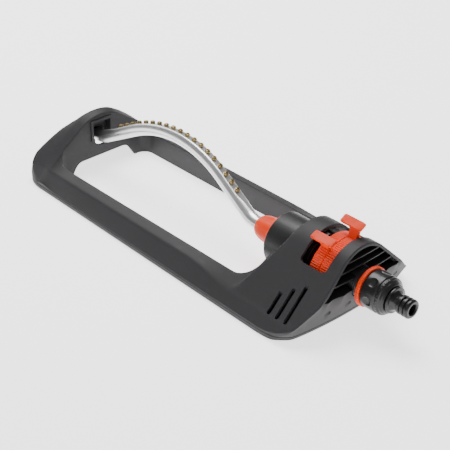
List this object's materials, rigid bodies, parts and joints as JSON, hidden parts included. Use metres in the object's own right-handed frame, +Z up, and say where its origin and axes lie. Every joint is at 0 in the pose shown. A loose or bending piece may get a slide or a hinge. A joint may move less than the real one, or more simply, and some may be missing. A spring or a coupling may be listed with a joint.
{
  "type": "oscillating lawn sprinkler",
  "caption": "Oscillating lawn sprinkler: open base frame, bowed spray tube swung by a water motor, range rings and a hose inlet.",
  "frame": {"origin": "middle of the bounding box, on the ground", "axes": "+X along the length towards the hose inlet, +Y to the left when facing +X, +Z up"},
  "size_m": [0.444, 0.1588, 0.0824],
  "materials": {
    "shell_grey": "fine matt grain",
    "grille_dark": "matt",
    "steel": "plain",
    "nylon": "plain moulded",
    "aluminium": "drawn and polished",
    "brass": "turned",
    "black_gloss": "smooth gloss",
    "orange": "smooth semi-gloss",
    "rubber": "matt"
  },
  "bodies": {
    "base": {"base_frame": "shell_grey", "front_grille": "grille_dark", "belly_cover": "shell_grey", "cover_screw_1": "steel", "cover_screw_2": "steel", "cover_screw_3": "steel", "cover_screw_4": "steel", "rear_bearing": "nylon", "rear_disc": "orange", "shaft_seal": "rubber", "motor_housing": "black_gloss", "gear_plate": "nylon", "idler_axle": "steel", "turbine_axle": "steel", "reduction_axle": "steel", "jet_plate": "nylon", "inlet_stem": "black_gloss", "inlet_ring": "orange", "inlet_filter": "steel", "hose_washer": "rubber", "hose_nipple": "black_gloss"},
    "spray_arm": {"spray_tube": "aluminium", "nozzle_01": "brass", "nozzle_02": "brass", "nozzle_03": "brass", "nozzle_04": "brass", "nozzle_05": "brass", "nozzle_06": "brass", "nozzle_07": "brass", "nozzle_08": "brass", "nozzle_09": "brass", "nozzle_10": "brass", "nozzle_11": "brass", "nozzle_12": "brass", "nozzle_13": "brass", "nozzle_14": "brass", "nozzle_15": "brass", "nozzle_16": "brass", "nozzle_17": "brass", "nozzle_18": "brass", "nozzle_19": "brass", "tube_plug": "black_gloss", "tube_collar": "orange", "output_shaft": "nylon"},
    "idler": {"idler_gear": "nylon"},
    "trip": {"trip_arm": "nylon"},
    "lever": {"reversing_lever": "nylon"},
    "turbine_wheel": {"turbine": "orange"},
    "reduction": {"reduction_gear": "nylon"},
    "rear_range": {"range_ring_rear": "orange"},
    "front_range": {"range_ring_front": "orange"},
    "nut": {"union_nut": "black_gloss"}
  },
  "joints": [
    {"name": "tube_swing", "type": "hinge", "parent": "base", "child": "spray_arm", "pos_m": [-0.075, 0, 0.036], "axis": [1, 0, 0], "range_deg": [-32.5, 57.5]},
    {"name": "idler_turn", "type": "hinge", "parent": "base", "child": "idler", "pos_m": [0.0824, 0, 0.051], "axis": [1, 0, 0], "range_deg": [-115, 65]},
    {"name": "trip_swing", "type": "hinge", "parent": "base", "child": "trip", "pos_m": [0.1288, 0, 0.036], "axis": [1, 0, 0], "range_deg": [-32.5, 57.5]},
    {"name": "lever_flip", "type": "hinge", "parent": "base", "child": "lever", "pos_m": [0.0886, 0, 0.023], "axis": [1, 0, 0], "range_deg": [-12, 12]},
    {"name": "turbine_spin", "type": "hinge", "parent": "base", "child": "turbine_wheel", "pos_m": [0.107, 0, 0.036], "axis": [1, 0, 0], "continuous": true},
    {"name": "reduction_spin", "type": "hinge", "parent": "base", "child": "reduction", "pos_m": [0.1017, 0.012, 0.036], "axis": [1, 0, 0], "continuous": true},
    {"name": "rear_range_turn", "type": "hinge", "parent": "base", "child": "rear_range", "pos_m": [0.1395, 0, 0.036], "axis": [1, 0, 0], "range_deg": [-15, 22]},
    {"name": "front_range_turn", "type": "hinge", "parent": "base", "child": "front_range", "pos_m": [0.15, 0, 0.036], "axis": [1, 0, 0], "range_deg": [-38, 5]},
    {"name": "nut_turn", "type": "hinge", "parent": "base", "child": "nut", "pos_m": [0.191, 0, 0.036], "axis": [1, 0, 0], "continuous": true}
  ],
  "couplings": [
    {"joint": "idler_turn", "follows": "tube_swing", "ratio": -2},
    {"joint": "trip_swing", "follows": "tube_swing", "ratio": 1},
    {"joint": "reduction_spin", "follows": "turbine_spin", "ratio": -0.5}
  ]
}
